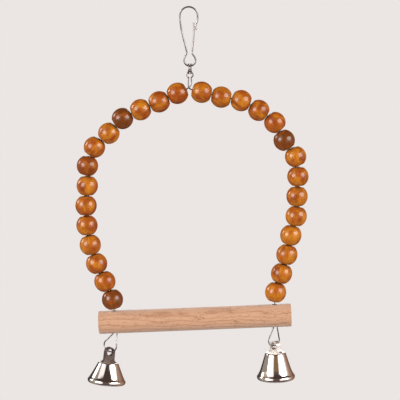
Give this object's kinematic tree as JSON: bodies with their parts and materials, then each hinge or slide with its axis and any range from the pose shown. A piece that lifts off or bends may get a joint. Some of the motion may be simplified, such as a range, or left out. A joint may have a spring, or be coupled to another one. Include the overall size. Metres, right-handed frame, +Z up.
{
  "type": "bird swing",
  "caption": "Bird swing: a wire arch of round wooden beads carries a wooden perch, hangs from a sprung wire hook, and has a small bell under each end.",
  "frame": {"origin": "inside top of the hook's bow, on the middle plane of its wire, where the cage bar sits", "axes": "+Z up, against the pull of the hanging swing; +X to the right along the perch, seen from the front; +Y from the front to the back, along the cage bar through the hook"},
  "size_m": [0.1305, 0.0231, 0.214],
  "materials": {
    "hook_wire": "bright galvanised spring wire",
    "ring_wire": "bright steel wire",
    "arch_wire": "bright steel wire",
    "perch_wood": "bare beech, sanded, with fine flecks along the grain",
    "bead_wood": "orange-brown stain, gloss varnish",
    "bead_wood_dark": "dark brown stain, gloss varnish",
    "bell_nickel": "nickel plated sheet, mirror bright",
    "clapper_wire": "plain steel wire",
    "clapper_ball": "nickel plated ball"
  },
  "bodies": {
    "hook": {"hook": "hook_wire"},
    "gate": {"hook_gate": "hook_wire"},
    "ring": {"link_ring": "ring_wire"},
    "arch": {"wire_left": "arch_wire", "wire_right": "arch_wire", "perch": "perch_wood"},
    "bell_left": {"bell_left_shell": "bell_nickel", "bell_left_hanger": "bell_nickel", "bell_left_staple": "clapper_wire"},
    "clapper_left": {"clapper_left_rod": "clapper_wire", "clapper_left_ball": "clapper_ball"},
    "bell_right": {"bell_right_shell": "bell_nickel", "bell_right_hanger": "bell_nickel", "bell_right_staple": "clapper_wire"},
    "clapper_right": {"clapper_right_rod": "clapper_wire", "clapper_right_ball": "clapper_ball"},
    "bead_left_01": {"bead_left_01": "bead_wood"},
    "bead_left_02": {"bead_left_02": "bead_wood"},
    "bead_left_03": {"bead_left_03": "bead_wood"},
    "bead_left_04": {"bead_left_04": "bead_wood_dark"},
    "bead_left_05": {"bead_left_05": "bead_wood"},
    "bead_left_06": {"bead_left_06": "bead_wood"},
    "bead_left_07": {"bead_left_07": "bead_wood"},
    "bead_left_08": {"bead_left_08": "bead_wood"},
    "bead_left_09": {"bead_left_09": "bead_wood"},
    "bead_left_10": {"bead_left_10": "bead_wood"},
    "bead_left_11": {"bead_left_11": "bead_wood"},
    "bead_left_12": {"bead_left_12": "bead_wood"},
    "bead_left_13": {"bead_left_13": "bead_wood"},
    "bead_left_14": {"bead_left_14": "bead_wood_dark"},
    "bead_right_01": {"bead_right_01": "bead_wood"},
    "bead_right_02": {"bead_right_02": "bead_wood"},
    "bead_right_03": {"bead_right_03": "bead_wood"},
    "bead_right_04": {"bead_right_04": "bead_wood"},
    "bead_right_05": {"bead_right_05": "bead_wood"},
    "bead_right_06": {"bead_right_06": "bead_wood_dark"},
    "bead_right_07": {"bead_right_07": "bead_wood"},
    "bead_right_08": {"bead_right_08": "bead_wood"},
    "bead_right_09": {"bead_right_09": "bead_wood"},
    "bead_right_10": {"bead_right_10": "bead_wood"},
    "bead_right_11": {"bead_right_11": "bead_wood"},
    "bead_right_12": {"bead_right_12": "bead_wood"},
    "bead_right_13": {"bead_right_13": "bead_wood"},
    "bead_right_14": {"bead_right_14": "bead_wood"}
  },
  "joints": [
    {"name": "gate_press", "type": "hinge", "parent": "hook", "child": "gate", "pos_m": [0.0019, 0, -0.02435], "axis": [0, -1, 0], "range_deg": [0, 15], "stiffness_Nm_per_rad": 0.004},
    {"name": "ring_swing", "type": "hinge", "parent": "hook", "child": "ring", "pos_m": [0.0006, 0, -0.03205], "axis": [1, 0, 0], "range_deg": [-60, 60]},
    {"name": "side_swing", "type": "hinge", "parent": "ring", "child": "arch", "pos_m": [0.0006, 0, -0.03683], "axis": [0, 1, 0], "range_deg": [-40, 40]},
    {"name": "bell_left_swing", "type": "hinge", "parent": "arch", "child": "bell_left", "pos_m": [-0.04511, 0.00031, -0.1939], "axis": [0.809, -0.5878, 0], "range_deg": [-30, 30]},
    {"name": "bell_right_swing", "type": "hinge", "parent": "arch", "child": "bell_right", "pos_m": [0.04892, 0.00041, -0.19036], "axis": [0.8829, 0.4695, 0], "range_deg": [-27, 27]},
    {"name": "clapper_left_swing", "type": "hinge", "parent": "bell_left", "child": "clapper_left", "pos_m": [-0.04598, -0.00027, -0.20218], "axis": [0.8828, 0.4529, -0.1246], "range_deg": [-47, 47]},
    {"name": "clapper_right_swing", "type": "hinge", "parent": "bell_right", "child": "clapper_right", "pos_m": [0.04908, 0.00041, -0.19661], "axis": [0.6944, -0.7193, 0.0182], "range_deg": [-33, 33]},
    {"name": "bead_left_01_spin", "type": "hinge", "parent": "arch", "child": "bead_left_01", "pos_m": [-0.00628, 0, -0.04715], "axis": [-0.9063, 0, -0.4226], "continuous": true},
    {"name": "bead_left_02_spin", "type": "hinge", "parent": "arch", "child": "bead_left_02", "pos_m": [-0.01645, 0, -0.05189], "axis": [-0.9135, 0, -0.4067], "continuous": true},
    {"name": "bead_left_03_spin", "type": "hinge", "parent": "arch", "child": "bead_left_03", "pos_m": [-0.02678, 0, -0.05628], "axis": [-0.91, 0, -0.4147], "continuous": true},
    {"name": "bead_left_04_spin", "type": "hinge", "parent": "arch", "child": "bead_left_04", "pos_m": [-0.03687, 0, -0.06119], "axis": [-0.8039, 0, -0.5948], "continuous": true},
    {"name": "bead_left_05_spin", "type": "hinge", "parent": "arch", "child": "bead_left_05", "pos_m": [-0.04452, 0, -0.0694], "axis": [-0.7009, 0, -0.7133], "continuous": true},
    {"name": "bead_left_06_spin", "type": "hinge", "parent": "arch", "child": "bead_left_06", "pos_m": [-0.05259, 0, -0.07719], "axis": [-0.5519, 0, -0.8339], "continuous": true},
    {"name": "bead_left_07_spin", "type": "hinge", "parent": "arch", "child": "bead_left_07", "pos_m": [-0.05661, 0, -0.08767], "axis": [-0.1908, 0, -0.9816], "continuous": true},
    {"name": "bead_left_08_spin", "type": "hinge", "parent": "arch", "child": "bead_left_08", "pos_m": [-0.05681, 0, -0.09889], "axis": [-0.0436, 0, -0.999], "continuous": true},
    {"name": "bead_left_09_spin", "type": "hinge", "parent": "arch", "child": "bead_left_09", "pos_m": [-0.05759, 0, -0.11008], "axis": [-0.0175, 0, -0.9998], "continuous": true},
    {"name": "bead_left_10_spin", "type": "hinge", "parent": "arch", "child": "bead_left_10", "pos_m": [-0.0572, 0, -0.12129], "axis": [0.0958, 0, -0.9954], "continuous": true},
    {"name": "bead_left_11_spin", "type": "hinge", "parent": "arch", "child": "bead_left_11", "pos_m": [-0.05544, 0, -0.13237], "axis": [0.2334, 0, -0.9724], "continuous": true},
    {"name": "bead_left_12_spin", "type": "hinge", "parent": "arch", "child": "bead_left_12", "pos_m": [-0.05197, 0, -0.14305], "axis": [0.3584, 0, -0.9336], "continuous": true},
    {"name": "bead_left_13_spin", "type": "hinge", "parent": "arch", "child": "bead_left_13", "pos_m": [-0.04741, 0, -0.1533], "axis": [0.3907, 0, -0.9205], "continuous": true},
    {"name": "bead_left_14_spin", "type": "hinge", "parent": "arch", "child": "bead_left_14", "pos_m": [-0.04321, 0, -0.1637], "axis": [0.2588, 0, -0.9659], "continuous": true},
    {"name": "bead_right_01_spin", "type": "hinge", "parent": "arch", "child": "bead_right_01", "pos_m": [0.00714, 0, -0.04656], "axis": [0.9703, 0, -0.2419], "continuous": true},
    {"name": "bead_right_02_spin", "type": "hinge", "parent": "arch", "child": "bead_right_02", "pos_m": [0.01802, 0, -0.04927], "axis": [0.9781, 0, -0.2079], "continuous": true},
    {"name": "bead_right_03_spin", "type": "hinge", "parent": "arch", "child": "bead_right_03", "pos_m": [0.02907, 0, -0.05122], "axis": [0.9426, 0, -0.3338], "continuous": true},
    {"name": "bead_right_04_spin", "type": "hinge", "parent": "arch", "child": "bead_right_04", "pos_m": [0.03889, 0, -0.05666], "axis": [0.8387, 0, -0.5446], "continuous": true},
    {"name": "bead_right_05_spin", "type": "hinge", "parent": "arch", "child": "bead_right_05", "pos_m": [0.04785, 0, -0.06341], "axis": [0.6494, 0, -0.7604], "continuous": true},
    {"name": "bead_right_06_spin", "type": "hinge", "parent": "arch", "child": "bead_right_06", "pos_m": [0.05311, 0, -0.07332], "axis": [0.5225, 0, -0.8526], "continuous": true},
    {"name": "bead_right_07_spin", "type": "hinge", "parent": "arch", "child": "bead_right_07", "pos_m": [0.05955, 0, -0.08251], "axis": [0.3584, 0, -0.9336], "continuous": true},
    {"name": "bead_right_08_spin", "type": "hinge", "parent": "arch", "child": "bead_right_08", "pos_m": [0.06092, 0, -0.09365], "axis": [0.0436, 0, -0.999], "continuous": true},
    {"name": "bead_right_09_spin", "type": "hinge", "parent": "arch", "child": "bead_right_09", "pos_m": [0.06053, 0, -0.10486], "axis": [-0.0349, 0, -0.9994], "continuous": true},
    {"name": "bead_right_10_spin", "type": "hinge", "parent": "arch", "child": "bead_right_10", "pos_m": [0.06013, 0, -0.11607], "axis": [-0.1478, 0, -0.989], "continuous": true},
    {"name": "bead_right_11_spin", "type": "hinge", "parent": "arch", "child": "bead_right_11", "pos_m": [0.05723, 0, -0.12691], "axis": [-0.225, 0, -0.9744], "continuous": true},
    {"name": "bead_right_12_spin", "type": "hinge", "parent": "arch", "child": "bead_right_12", "pos_m": [0.05509, 0, -0.13792], "axis": [-0.225, 0, -0.9744], "continuous": true},
    {"name": "bead_right_13_spin", "type": "hinge", "parent": "arch", "child": "bead_right_13", "pos_m": [0.05219, 0, -0.14876], "axis": [-0.2756, 0, -0.9613], "continuous": true},
    {"name": "bead_right_14_spin", "type": "hinge", "parent": "arch", "child": "bead_right_14", "pos_m": [0.0489, 0, -0.15949], "axis": [-0.1822, 0, -0.9833], "continuous": true}
  ]
}
